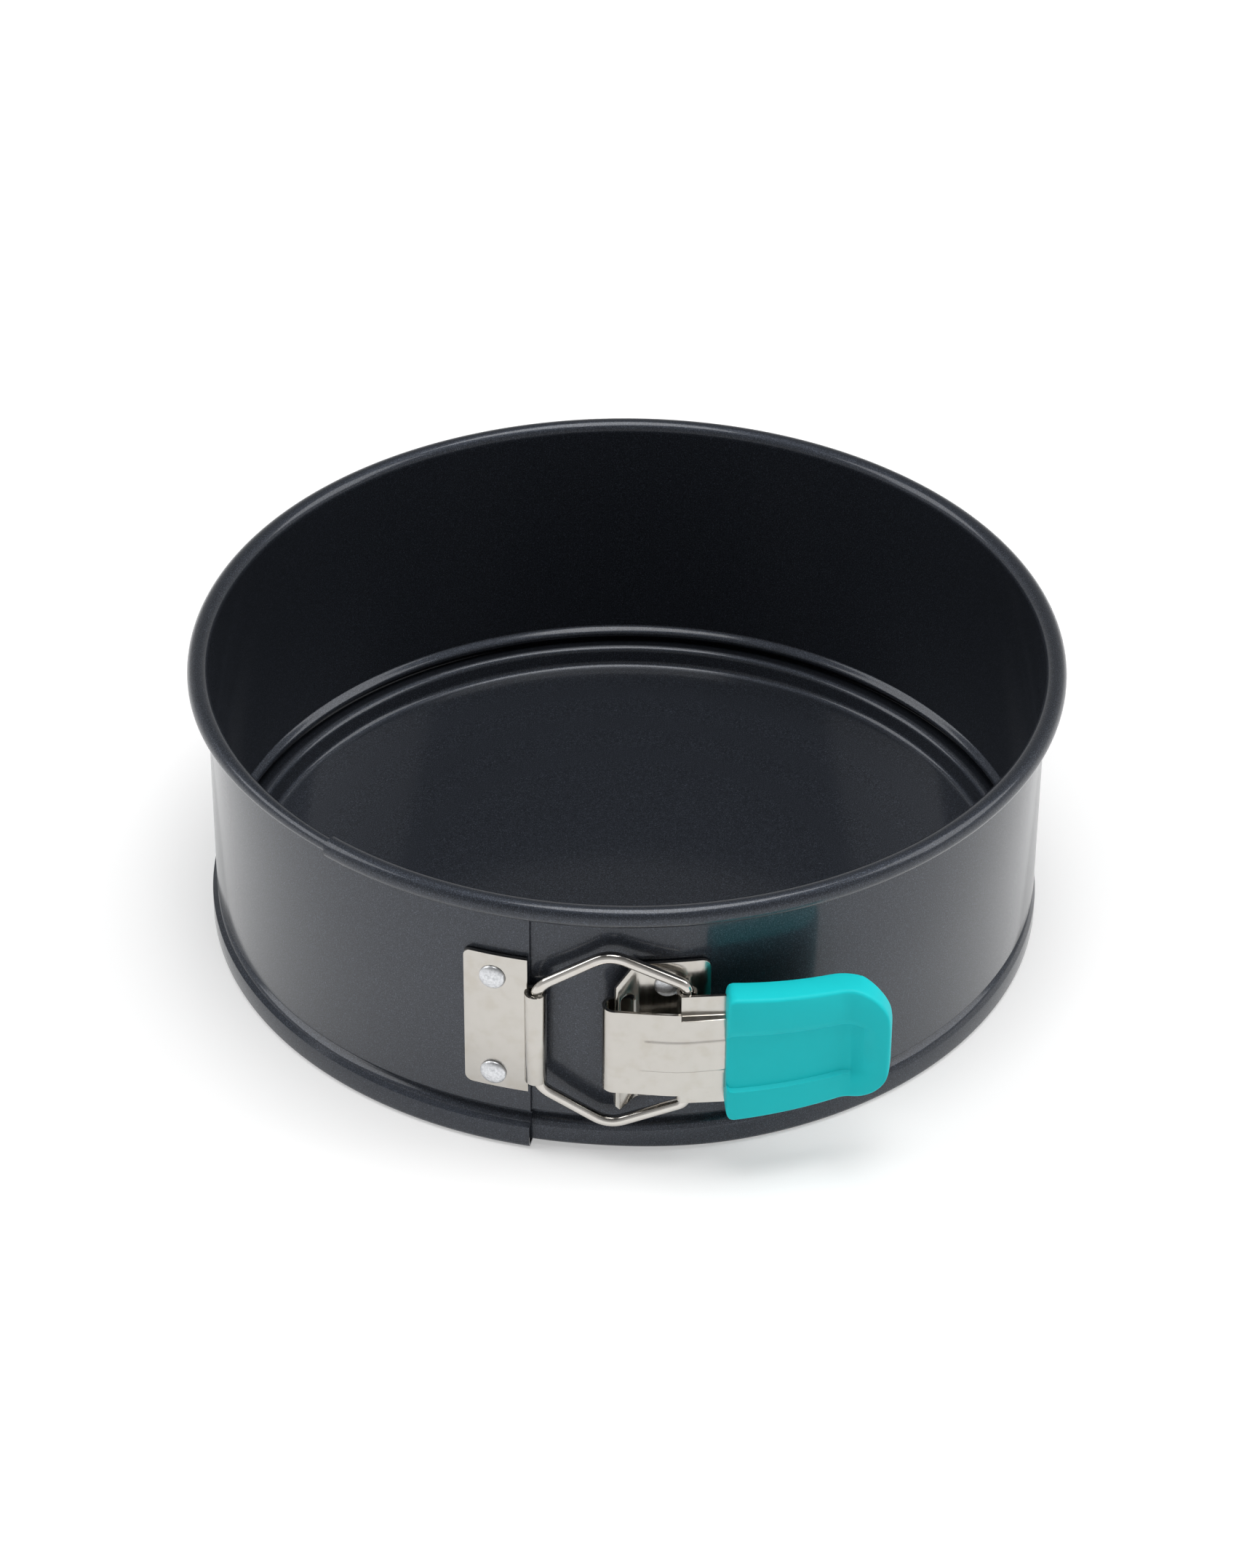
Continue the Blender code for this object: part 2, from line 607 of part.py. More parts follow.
def make_lever_grip(material):
    grip = add_object("lever_grip", prism(grip_outline(), GRIP_LEFT_HALF_HEIGHT + GRIP_EDGE,
                                          GRIP_LEFT_HALF_HEIGHT + GRIP_EDGE), material)
    combine(grip, add_helper("grip_panel", front_prism(grip_panel())), "INTERSECT")
    pocket_xs = spread(GRIP_LEFT_X - GRIP_EDGE, TANG_END_X + CLEARANCE, TANG_STEPS)
    pocket = ribbon([grip_axis(x) for x in pocket_xs], LEVER_SHEET + 2 * CLEARANCE)
    reach = LEVER_HALF_HEIGHT + CLEARANCE
    combine(grip, add_helper("grip_pocket", prism(pocket, reach, reach)), "DIFFERENCE")
    channel = prism(channel_outline(), CHANNEL_DROP, CHANNEL_RISE)
    combine(grip, add_helper("grip_channel", channel), "DIFFERENCE")
    return grip


def hang_on_pivot(name, pivot, items):
    """Parent rigid neighbours to one empty on their joint's axis."""
    empty = bpy.data.objects.new(name, None)
    bpy.context.collection.objects.link(empty)
    empty.location = (pivot.x, pivot.y, 0.0)
    for item in items:
        item.parent = empty
        item.matrix_parent_inverse = Matrix.Translation((-pivot.x, -pivot.y, 0.0))


def main():
    clear_scene()
    coating = make_material("dark_coating", (0.035, 0.037, 0.042), 0.42, 0.6)
    floor_coating = make_material("base_coating", (0.035, 0.037, 0.042), 0.42, 0.6)
    nickel = make_material("nickel_plate", (0.72, 0.69, 0.64), 0.28, 1.0)
    wire = make_material("nickel_wire", (0.70, 0.67, 0.62), 0.22, 1.0)
    aluminium = make_material("rivet_aluminium", (0.78, 0.78, 0.79), 0.35, 1.0)
    silicone = make_material("teal_silicone", (0.02, 0.50, 0.52), 0.55, 0.0)

    band = make_side_band(coating)
    base = make_base_plate(floor_coating)
    keeper = make_keeper_plate(nickel)
    bracket = make_lever_bracket(nickel)
    make_wire_bail(wire)
    lever = make_latch_lever(nickel)
    grip = make_lever_grip(silicone)

    keeper_rivets = []
    keeper_deg = azimuth(KEEPER_RIVET_X, KEEPER_INNER)
    keeper_seat = KEEPER_INNER + PLATE_SHEET + CLEARANCE
    for word, rise in (("upper", KEEPER_RIVET_HALF_SPACING), ("lower", -KEEPER_RIVET_HALF_SPACING)):
        height = LATCH_HEIGHT + rise
        hole = rivet_hole(f"keeper_hole_{word}", keeper_deg, height, OUTER_RADIUS + LAYER_GAP / 2)
        combine(keeper, hole, "DIFFERENCE")
        combine(band, hole, "DIFFERENCE")
        keeper_rivets.append(make_rivet(f"keeper_rivet_{word}", keeper_deg, height, keeper_seat,
                                        WALL_MID + LAYER_STEP, aluminium))

    bracket_deg = azimuth(BRACKET_RIVET_X, BRACKET_INNER)
    bracket_seat = BRACKET_INNER + PLATE_SHEET + CLEARANCE
    for word, rise in (("upper", BRACKET_RIVET_RISE), ("lower", -BRACKET_RIVET_DROP)):
        height = LATCH_HEIGHT + rise
        hole = rivet_hole(f"bracket_hole_{word}", bracket_deg, height, INNER_RADIUS - RIVET_HEAD)
        combine(bracket, hole, "DIFFERENCE")
        combine(band, hole, "DIFFERENCE")
        make_rivet(f"bracket_rivet_{word}", bracket_deg, height, bracket_seat, WALL_MID, aluminium)

    hang_on_pivot("band_spring", BAND_PIVOT, [keeper] + keeper_rivets)
    hang_on_pivot("lever_swing", HOOK, [lever, grip])
    hang_on_pivot("base_lift", Vector((0.0, 0.0)), [base])


main()
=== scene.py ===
"""Looks of the springform pan: finished sheet, wire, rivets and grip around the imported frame."""
import json
import math

import bmesh
import bpy
from mathutils import Matrix, Vector


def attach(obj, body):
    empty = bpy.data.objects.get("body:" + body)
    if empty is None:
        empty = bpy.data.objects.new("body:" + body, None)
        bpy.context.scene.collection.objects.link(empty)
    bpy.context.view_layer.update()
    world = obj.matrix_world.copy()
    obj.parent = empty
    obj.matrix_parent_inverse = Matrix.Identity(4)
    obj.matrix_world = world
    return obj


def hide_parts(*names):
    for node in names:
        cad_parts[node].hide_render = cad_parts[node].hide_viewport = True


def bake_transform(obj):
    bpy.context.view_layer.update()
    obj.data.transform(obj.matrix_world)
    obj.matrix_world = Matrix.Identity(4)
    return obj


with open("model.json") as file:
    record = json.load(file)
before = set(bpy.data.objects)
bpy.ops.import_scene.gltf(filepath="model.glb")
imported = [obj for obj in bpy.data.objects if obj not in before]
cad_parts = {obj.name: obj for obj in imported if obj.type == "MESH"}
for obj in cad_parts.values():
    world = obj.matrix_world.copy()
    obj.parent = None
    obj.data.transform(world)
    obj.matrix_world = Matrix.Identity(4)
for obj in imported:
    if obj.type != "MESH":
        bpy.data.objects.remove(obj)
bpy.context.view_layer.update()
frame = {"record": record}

MM = 0.001
QUARTER_DEG = 90.0
FULL_TURN_DEG = 360.0
CURL_DEG = 290.0

# Mesh making; a curl is a touch thinner than its sheet, so that no faces coincide where they join
SHARP_DEG = 35.0
BEND_SHARE = 0.45
MITRE_LIMIT = 0.5
MERGE_DISTANCE = 0.0003 * MM
BARREL_THINNING = 0.98
EAR_THINNING = 0.97

# Photograph's camera, fitted to the rim, wall and skirt outlines
IMAGE_HEIGHT_PX = 2156
FOCAL_PX = 6684.9
SENSOR = 36.0
CAMERA_BACK = 976.2 * MM
CAMERA_UP = 747.8 * MM
CAMERA_PITCH = 0.6327
CAMERA_ROLL = 0.0077
CAMERA_CLIP_END = 20.0

# Stage
FLOOR_GLOW = 0.38
FLOOR_TONE = 0.7
FLOOR_HALF_SIZE = 6.0
FLOOR_DROP = 0.2 * MM
SKY_STOPS = ((0.05, 0.68), (0.35, 0.42), (0.75, 0.12))

# Lights: name, place and size in metres, power in watts
LIGHT_TARGET = (0.0, 0.0, 0.03)
LIGHTS = (
    ("box_left", (-3.0, 0.3, 2.6), (2.2, 2.2), 52.0),
    ("box_right", (3.0, 0.3, 2.6), (2.2, 2.2), 50.0),
    ("box_top", (0.2, -0.1, 3.2), (2.0, 1.6), 60.0),
)

# Tones and roughness of the materials
COAT_TONE = (0.038, 0.044, 0.057)
NICKEL_TONE = (0.53, 0.508, 0.473)
NICKEL_ROUGHNESS = 0.18
STAIN_SHARES = (0.95, 0.935, 0.91)
WIRE_TONE = (0.60, 0.575, 0.54)
WIRE_ROUGHNESS = 0.16
RIVET_DARK = (0.52, 0.53, 0.55)
RIVET_PALE = (0.74, 0.75, 0.77)
TEAL_DEEP = (0.010, 0.63, 0.67)
TEAL_LIGHT = (0.012, 0.665, 0.705)

# Side band, as in the part
INNER_RADIUS = 101.6 * MM
BAND_SHEET = 0.6 * MM
RIM_HEIGHT = 71.0 * MM
ROLL_RADIUS = 2.3 * MM
ROLL_END_DEG = -85.0
BEAD_HEIGHT = 8.6 * MM
BEAD_HALF_WIDTH = 2.0 * MM
BEAD_DEPTH = 1.9 * MM
SKIRT_TOP = 5.9 * MM
SKIRT_STEP = 0.5 * MM
SKIRT_CORNER = 1.1 * MM
SKIRT_FLARE = 1.0
SKIRT_EASE_SHARE = 0.12
SKIRT_EASE_RISE = 0.1 * MM
SKIRT_EASE_DROP = 0.3 * MM
LIP_WIDTH = 3.4 * MM
LAYER_GAP = 0.35 * MM
SEAM_X = -22.0 * MM
OVERLAP_DEG = 28.6
SETTLE_DEG = 130.0
REGROW_DEG = 40.0
LIFT_RUN_DEG = OVERLAP_DEG - 5.0
BAND_STEP_DEG = 1.25

# Base plate
BASE_SHEET = 0.8 * MM
BASE_FIT = 0.4 * MM
BASE_RIDGE_INSET = 3.7 * MM
BASE_RIDGE_HEIGHT = 5.6 * MM
BASE_EDGE_DROP = 0.6 * MM
BASE_SHOULDER_REACH = 1.6 * MM
BASE_SHOULDER_DROP = 0.1 * MM
BASE_CREST_INSET = 0.6 * MM
BASE_CREST_RISE = 0.15 * MM
FLOOR_INSET = 8.5 * MM
BASE_BEND = 2.3 * MM
BASE_FILLET = 2.6 * MM
BASE_SEGMENTS = 240

# Keeper plate, in heights above and below the latch's middle
CLEARANCE = 0.3 * MM
PLATE_SHEET = 1.0 * MM
SHEET_EDGE = 0.18 * MM
KEEPER_LEFT_X = -37.5 * MM
KEEPER_TAB_X = -22.7 * MM
KEEPER_RISE = 20.5 * MM
KEEPER_DROP = 18.4 * MM
KEEPER_CORNER = 1.8 * MM
BARREL_LEAD = 1.2 * MM
BARREL_HALF_LENGTH = 12.9 * MM

# Wire bail
WIRE_RADIUS = 1.4 * MM
WIRE_FIT = 0.2 * MM
WIRE_BEND = 4.0 * MM
BAIL_APEX_X = -3.8 * MM
BAIL_APEX_HALF_HEIGHT = 25.2 * MM

# Lever bracket
BRACKET_BEND_X = 2.9 * MM
BRACKET_RIGHT_X = 19.6 * MM
BRACKET_RISE = 21.1 * MM
BRACKET_DROP = 18.2 * MM
BRACKET_CORNER = 2.4 * MM
FLANGE_BEND = 1.2 * MM
RAIL_X = -1.8 * MM
RAIL_STANDOFF = 4.0 * MM
RAIL_WIDTH = 1.6 * MM
FLANGE_TOP_X = 1.9 * MM
FLANGE_HEAD_RISE = 15.5 * MM
FLANGE_FOOT_DROP = 16.6 * MM
FLANGE_TIP_X = -1.2 * MM
FLANGE_TIP_DROP = 20.2 * MM
FLANGE_RETURN_X = 2.2 * MM
WINDOW_RIGHT_X = 1.9 * MM
WINDOW_HALF_HEIGHT = 13.2 * MM
WINDOW_CORNER = 1.3 * MM

# Latch lever
LEVER_SHEET = 0.8 * MM
LEVER_HALF_HEIGHT = 11.9 * MM
LOOP_LEFT = 3.65 * MM
LOOP_FRONT = 3.4 * MM
LOOP_BACK = 1.9 * MM
LOOP_TIP = 3.9 * MM
LOOP_TIP_SHARE = 0.7
LOOP_TIP_TURN = 0.95 * MM
LEVER_KNEE_X = 12.5 * MM
LEVER_KNEE_STANDOFF = 9.4 * MM
LEVER_KNEE_BEND = 4.0 * MM
LEVER_STEP = 0.8 * MM
LEVER_ROWS = 68
EAR_HALF_HEIGHT = 15.7 * MM
WIRE_END = 1.2 * MM
EAR_STEP = 1.6 * MM
JOGGLE_LEFT_X = 12.6 * MM
JOGGLE_LOW = 10.05 * MM
JOGGLE_HIGH = 10.4 * MM
TANG_END_X = 47.0 * MM
RIB_HALF_HEIGHT = 4.9 * MM
RIB_UPPER_EDGE = 1.6 * MM
RIB_LOWER_EDGE = 0.5 * MM
RIB_START_X = 2.0 * MM
RIB_RUN = 2.5 * MM
RIB_RISE = 0.45 * MM

# Grip
GRIP_LEFT_X = 23.4 * MM
GRIP_RIGHT_X = 61.0 * MM
GRIP_ROOT_STANDOFF = 13.45 * MM
GRIP_SLOPE_DEG = 5.3
GRIP_FACE_RADIUS = 91.8 * MM
GRIP_THICKNESS = 7.7 * MM
GRIP_TIP_THICKNESS = 5.0 * MM
GRIP_LEFT_HALF_HEIGHT = 17.85 * MM
GRIP_RIGHT_HALF_HEIGHT = 14.95 * MM
GRIP_LEFT_CORNER = 2.2 * MM
GRIP_RIGHT_CORNER = 8.7 * MM
GRIP_EDGE = 1.0 * MM
GRIP_STEPS = 110
LIP_START_X = 49.3 * MM
LIP_BLEND = 3.5 * MM
LIP_SLOPE = 0.7
CHANNEL_RISE = (7.0 * MM, 5.1 * MM)
CHANNEL_DROP = (8.9 * MM, 8.1 * MM)
CHANNEL_DEPTH = 1.1 * MM
CHANNEL_FLANK = 0.5 * MM
CHANNEL_ROLL = 2.6 * MM
CHANNEL_FADE_X = 50.0 * MM
CHANNEL_END_X = 58.5 * MM
CREASE_RISE = (12.9 * MM, 11.6 * MM)
CREASE_FALL = 0.35 * MM

# Rivets
RIVET_SHANK = 1.6 * MM
RIVET_HEAD = 3.2 * MM
RIVET_DOME = 1.3 * MM
RIVET_RIM = 0.12 * MM
RIVET_LIE = 0.05 * MM
RIVET_RINGS = 12
RIVET_SEGMENTS = 48
KEEPER_RIVET_X = -30.5 * MM
KEEPER_RIVET_HALF_SPACING = 14.15 * MM
BRACKET_RIVET_X = 9.55 * MM
BRACKET_RIVET_RISE = 14.8 * MM
BRACKET_RIVET_DROP = 13.5 * MM

# Sizes that follow from those above, and joints read from the frame
WALL_MID = INNER_RADIUS + BAND_SHEET / 2
OUTER_RADIUS = INNER_RADIUS + BAND_SHEET
LAYER_STEP = BAND_SHEET + LAYER_GAP
OUTER_END_DEG = math.degrees(math.asin(SEAM_X / OUTER_RADIUS))
BACK_TURN_DEG = FULL_TURN_DEG / 2 + OUTER_END_DEG
KEEPER_INNER = OUTER_RADIUS + LAYER_STEP + CLEARANCE
BRACKET_INNER = OUTER_RADIUS + CLEARANCE
BASE_RADIUS = INNER_RADIUS + SKIRT_STEP - BASE_FIT
EYE_RADIUS = WIRE_RADIUS + WIRE_FIT
JOINTS = {joint["name"]: joint for joint in frame["record"]["behaviour"]["joints"]}
BARREL = Vector(JOINTS["bail_swing"]["pos_m"][:2])
HOOK = Vector(JOINTS["lever_swing"]["pos_m"][:2])
LATCH_HEIGHT = JOINTS["lever_swing"]["pos_m"][2]


def front_point(x, standoff):
    """Plan point on the front of the pan, a given distance off the band's outer face."""
    radius = OUTER_RADIUS + standoff
    return Vector((x, -math.sqrt(radius * radius - x * x)))


RAIL = front_point(RAIL_X, RAIL_STANDOFF)
KNEE = front_point(LEVER_KNEE_X, LEVER_KNEE_STANDOFF)
GRIP_SLOPE = math.radians(GRIP_SLOPE_DEG)
GRIP_CENTRE = front_point(GRIP_LEFT_X, GRIP_ROOT_STANDOFF) \
    + GRIP_FACE_RADIUS * Vector((-math.sin(GRIP_SLOPE), math.cos(GRIP_SLOPE)))


# Outlines
def spread(start, stop, steps):
    """Evenly spaced values from start to stop, both included."""
    return [start + (stop - start) * i / steps for i in range(steps + 1)]


def smooth(value):
    """Soft step from 0 to 1."""
    value = min(max(value, 0.0), 1.0)
    return value * value * (3.0 - 2.0 * value)


def mix(pair, share):
    """Value at a share of the way between the two of a pair."""
    return pair[0] + (pair[1] - pair[0]) * share


def polar(radius, degrees):
    """Plan point at an azimuth measured from the front (-Y) towards +X."""
    angle = math.radians(degrees)
    return Vector((radius * math.sin(angle), -radius * math.cos(angle)))


def azimuth(x, radius):
    """Azimuth in degrees of the point at a given X on the front of a circle round the pan's axis."""
    return math.degrees(math.asin(x / radius))


def arc(centre, radius, start_deg, end_deg, steps):
    """Points on a circle's arc, both ends included."""
    points = []
    for degrees in spread(start_deg, end_deg, steps):
        angle = math.radians(degrees)
        points.append(centre + radius * Vector((math.cos(angle), math.sin(angle))))
    return points


def corner(x, height, radius, start_deg):
    """Quarter arc of a rounded corner of a face outline, about its own centre."""
    return arc(Vector((x, height)), radius, start_deg, start_deg + QUARTER_DEG, steps=8)


def ribbon(points, thickness):
    """Closed outline of a sheet of even thickness along a plan polyline."""
    left, right = [], []
    last = len(points) - 1
    for i, point in enumerate(points):
        before = (point - points[max(i - 1, 0)]).normalized()
        after = (points[min(i + 1, last)] - point).normalized()
        along = (before + after).normalized()
        normal = Vector((-along.y, along.x))
        lean = max(along.dot(after if i < last else before), MITRE_LIMIT)
        offset = normal * (thickness / 2 / lean)
        left.append(point + offset)
        right.append(point - offset)
    return left + right[::-1]


def rounded(points, radius, steps=5):
    """Polyline with each inner corner replaced by a round bend."""
    result = [points[0]]
    for before, bend, after in zip(points, points[1:], points[2:]):
        inward, onward = before - bend, after - bend
        reach = min(radius, BEND_SHARE * inward.length, BEND_SHARE * onward.length)
        start = bend + inward.normalized() * reach
        end = bend + onward.normalized() * reach
        for t in spread(0.0, 1.0, steps):
            result.append(start * (1 - t) ** 2 + bend * (2 * t * (1 - t)) + end * t ** 2)
    return result + [points[-1]]


def dense(points, spacing):
    """Polyline with long runs cut into short steps."""
    result = [points[0]]
    for here, there in zip(points, points[1:]):
        count = max(1, math.ceil((there - here).length / spacing))
        result += [here.lerp(there, (i + 1) / count) for i in range(count)]
    return result


# Meshes
def add_piece(name, bm, material=None, sharp_deg=SHARP_DEG):
    """Object from a bmesh, smooth but for its edges past an angle."""
    bmesh.ops.recalc_face_normals(bm, faces=bm.faces)
    mesh = bpy.data.meshes.new(name)
    bm.to_mesh(mesh)
    bm.free()
    mesh.shade_smooth()
    mesh.set_sharp_from_angle(angle=math.radians(sharp_deg))
    piece = bpy.data.objects.new(name, mesh)
    bpy.context.collection.objects.link(piece)
    if material:
        mesh.materials.append(material)
    return piece


def extruded(corners, reach):
    """Bmesh of a flat outline of 3-D corners, extruded by a vector."""
    bm = bmesh.new()
    face = bm.faces.new([bm.verts.new(point) for point in corners])
    grown = bmesh.ops.extrude_face_region(bm, geom=[face])["geom"]
    moved = [item for item in grown if isinstance(item, bmesh.types.BMVert)]
    bmesh.ops.translate(bm, verts=moved, vec=reach)
    return bm


def prism(outline, drop, rise):
    """Bmesh of a plan outline, from a drop below the latch's middle to a rise above it."""
    corners = [(p.x, p.y, LATCH_HEIGHT - drop) for p in outline]
    return extruded(corners, (0.0, 0.0, drop + rise))


def front_prism(outline):
    """Bmesh of an outline in X and height above the latch's middle, through the pan's whole front."""
    reach = 2 * OUTER_RADIUS
    corners = [(p.x, -reach, LATCH_HEIGHT + p.y) for p in outline]
    return extruded(corners, (0.0, reach, 0.0))


def skin(rings):
    """Bmesh of quads between successive closed rings of 3-D points, with its ends closed."""
    bm = bmesh.new()
    loops = [[bm.verts.new(p) for p in ring] for ring in rings]
    for here, there in zip(loops, loops[1:]):
        for i in range(len(here)):
            j = (i + 1) % len(here)
            bm.faces.new((here[i], here[j], there[j], there[i]))
    bm.faces.new(loops[0])
    bm.faces.new(loops[-1])
    return bm


def turned(profile, segments):
    """Bmesh of an axis-to-axis profile of (radius, height) points turned about Z."""
    bm = bmesh.new()
    verts = [bm.verts.new((p[0], 0.0, p[1])) for p in profile]
    edges = [bm.edges.new(pair) for pair in zip(verts, verts[1:])]
    bmesh.ops.spin(bm, geom=verts + edges, cent=(0, 0, 0), axis=(0, 0, 1),
                   angle=2 * math.pi, steps=segments, use_merge=True)
    bmesh.ops.remove_doubles(bm, verts=bm.verts, dist=MERGE_DISTANCE)
    return bm


def bake_modifiers(piece):
    """Turn a piece's modifiers into mesh."""
    evaluated = piece.evaluated_get(bpy.context.evaluated_depsgraph_get())
    mesh = bpy.data.meshes.new_from_object(evaluated)
    old = piece.data
    piece.modifiers.clear()
    piece.data = mesh
    mesh.name = piece.name
    mesh.shade_smooth()
    mesh.set_sharp_from_angle(angle=math.radians(SHARP_DEG))
    bpy.data.meshes.remove(old)


def boolean(target, bm, operation):
    """Combine a solid into a piece at once, leaving no helper behind."""
    helper = add_piece("helper", bm)
    modifier = target.modifiers.new("combine", "BOOLEAN")
    modifier.operation = operation
    modifier.solver = "EXACT"
    modifier.object = helper
    bake_modifiers(target)
    bpy.data.objects.remove(helper, do_unlink=True)


def finish_sheet(piece, material, angle_deg=40.0):
    """Round the sharp edges of stamped sheet and give it one material."""
    bevel = piece.modifiers.new("soft edge", "BEVEL")
    bevel.width = SHEET_EDGE
    bevel.segments = 2
    bevel.limit_method = "ANGLE"
    bevel.angle_limit = math.radians(angle_deg)
    bake_modifiers(piece)
    piece.data.materials.clear()
    piece.data.materials.append(material)


def place(piece, body, node):
    """Let a piece ride a body, and hide the node that it stands for."""
    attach(piece, body)
    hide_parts(node)


# Materials
def new_material(name):
    """Material, its node tree and its shader."""
    material = bpy.data.materials.new(name)
    material.use_nodes = True
    tree = material.node_tree
    return material, tree, tree.nodes["Principled BSDF"]


def noise(tree, scale, detail=4.0, stretch=None):
    """Noise in object space, stretched where the surface is rolled or drawn one way."""
    node = tree.nodes.new("ShaderNodeTexNoise")
    node.inputs["Scale"].default_value = scale
    node.inputs["Detail"].default_value = detail
    spot = tree.nodes.new("ShaderNodeTexCoord")
    source = spot.outputs["Object"]
    if stretch:
        mapping = tree.nodes.new("ShaderNodeMapping")
        mapping.inputs["Scale"].default_value = stretch
        tree.links.new(source, mapping.inputs["Vector"])
        source = mapping.outputs["Vector"]
    tree.links.new(source, node.inputs["Vector"])
    return node


def ramp(tree, source, stops):
    """Colour ramp over a node's output."""
    node = tree.nodes.new("ShaderNodeValToRGB")
    elements = node.color_ramp.elements
    while len(elements) < len(stops):
        elements.new(0.5)
    for element, (position, colour) in zip(elements, stops):
        element.position = position
        element.color = (*colour, 1.0)
    tree.links.new(source, node.inputs["Fac"])
    return node


def grey(value):
    return (value, value, value)


def toned(tone, gain):
    """Lighter or darker tone of the same hue."""
    return tuple(min(1.0, gain * c) for c in tone)


def add_bump(tree, shader, source, strength, distance):
    """Fine relief from a noise, on a shader's normal."""
    bump = tree.nodes.new("ShaderNodeBump")
    bump.inputs["Strength"].default_value = strength
    bump.inputs["Distance"].default_value = distance
    tree.links.new(source.outputs["Fac"], bump.inputs["Height"])
    tree.links.new(bump.outputs["Normal"], shader.inputs["Normal"])


def coating_material(name, tone):
    """Charcoal non-stick coat: fine metal flakes in a dark film under a smooth gloss."""
    material, tree, shader = new_material(name)
    flakes = noise(tree, scale=4200.0, detail=2.0)
    stops = ((0.34, toned(tone, 0.5)), (0.56, tone), (0.74, toned(tone, 2.5)))
    colour = ramp(tree, flakes.outputs["Fac"], stops)
    tree.links.new(colour.outputs["Color"], shader.inputs["Base Color"])
    shader.inputs["Metallic"].default_value = 0.82
    shader.inputs["Roughness"].default_value = 0.5
    shader.inputs["Coat Weight"].default_value = 0.87
    shader.inputs["Coat Roughness"].default_value = 0.12
    shader.inputs["Coat IOR"].default_value = 1.39
    add_bump(tree, shader, flakes, strength=0.10, distance=0.12 * MM)
    return material


def nickel_material(name, tone, roughness):
    """Nickel plate: rolling lines in the sheet and faint warm stains."""
    material, tree, shader = new_material(name)
    stains = noise(tree, scale=300.0)
    warm = tuple(c * share for c, share in zip(tone, STAIN_SHARES))
    colour = ramp(tree, stains.outputs["Fac"], ((0.3, warm), (0.5, tone), (0.8, toned(tone, 1.03))))
    tree.links.new(colour.outputs["Color"], shader.inputs["Base Color"])
    lines = noise(tree, scale=900.0, detail=3.0, stretch=(1.0, 1.0, 0.06))
    rough = ramp(tree, lines.outputs["Fac"], ((0.3, grey(roughness * 0.85)), (0.7, grey(roughness * 1.2))))
    tree.links.new(rough.outputs["Color"], shader.inputs["Roughness"])
    shader.inputs["Metallic"].default_value = 1.0
    add_bump(tree, shader, lines, strength=0.04, distance=0.1 * MM)
    return material


def aluminium_material():
    """Rivet heads: pale, with pits from the setting tool."""
    material, tree, shader = new_material("rivet_aluminium")
    pits = noise(tree, scale=1500.0)
    colour = ramp(tree, pits.outputs["Fac"], ((0.3, RIVET_DARK), (0.6, RIVET_PALE)))
    tree.links.new(colour.outputs["Color"], shader.inputs["Base Color"])
    rough = ramp(tree, pits.outputs["Fac"], ((0.3, grey(0.46)), (0.7, grey(0.32))))
    tree.links.new(rough.outputs["Color"], shader.inputs["Roughness"])
    shader.inputs["Metallic"].default_value = 1.0
    add_bump(tree, shader, pits, strength=0.25, distance=0.2 * MM)
    return material


def silicone_material():
    """Teal silicone: matt, with the faint grain of its mould."""
    material, tree, shader = new_material("teal_silicone")
    clouds = noise(tree, scale=60.0, detail=3.0)
    colour = ramp(tree, clouds.outputs["Fac"], ((0.3, TEAL_DEEP), (0.7, TEAL_LIGHT)))
    tree.links.new(colour.outputs["Color"], shader.inputs["Base Color"])
    grain = noise(tree, scale=2600.0, detail=2.0)
    rough = ramp(tree, grain.outputs["Fac"], ((0.3, grey(0.44)), (0.7, grey(0.54))))
    tree.links.new(rough.outputs["Color"], shader.inputs["Roughness"])
    shader.inputs["Specular IOR Level"].default_value = 0.2
    shader.inputs["Subsurface Weight"].default_value = 0.08
    shader.inputs["Subsurface Radius"].default_value = (0.002, 0.004, 0.004)
    shader.inputs["Subsurface Scale"].default_value = 0.4
    add_bump(tree, shader, grain, strength=0.06, distance=0.1 * MM)
    return material


# Side band
def band_centre_line(turn):
    """Mid-sheet (radius, height) points, rim to lip, at a turn in degrees from the outer cut edge."""
    past_overlap = turn - OVERLAP_DEG
    layer = LAYER_STEP * (1.0 - smooth(past_overlap / SETTLE_DEG))
    nest = layer * (1.0 - smooth(past_overlap / REGROW_DEG))
    lift = LAYER_STEP * smooth((turn - FULL_TURN_DEG + OVERLAP_DEG) / LIFT_RUN_DEG)
    wall = WALL_MID + layer
    roll = ROLL_RADIUS - nest
    points = arc(Vector((wall + roll, RIM_HEIGHT)), roll, ROLL_END_DEG, 2 * QUARTER_DEG, steps=30)
    for share in spread(0.0, 1.0, steps=16):
        height = BEAD_HEIGHT + BEAD_HALF_WIDTH * (1.0 - 2.0 * share)
        inward = BEAD_DEPTH * 0.5 * (1.0 - math.cos(2.0 * math.pi * share))
        points.append(Vector((wall - inward, height)))
    skirt = wall + SKIRT_STEP + SKIRT_FLARE * layer
    low = BAND_SHEET / 2 + lift
    points.append(Vector((skirt - SKIRT_EASE_SHARE * SKIRT_STEP, SKIRT_TOP + SKIRT_EASE_RISE)))
    points.append(Vector((skirt, SKIRT_TOP - SKIRT_EASE_DROP)))
    bend = Vector((skirt - SKIRT_CORNER, low + SKIRT_CORNER))
    points += arc(bend, SKIRT_CORNER, 0.0, -QUARTER_DEG, steps=6)
    points.append(Vector((skirt - LIP_WIDTH, low)))
    return points


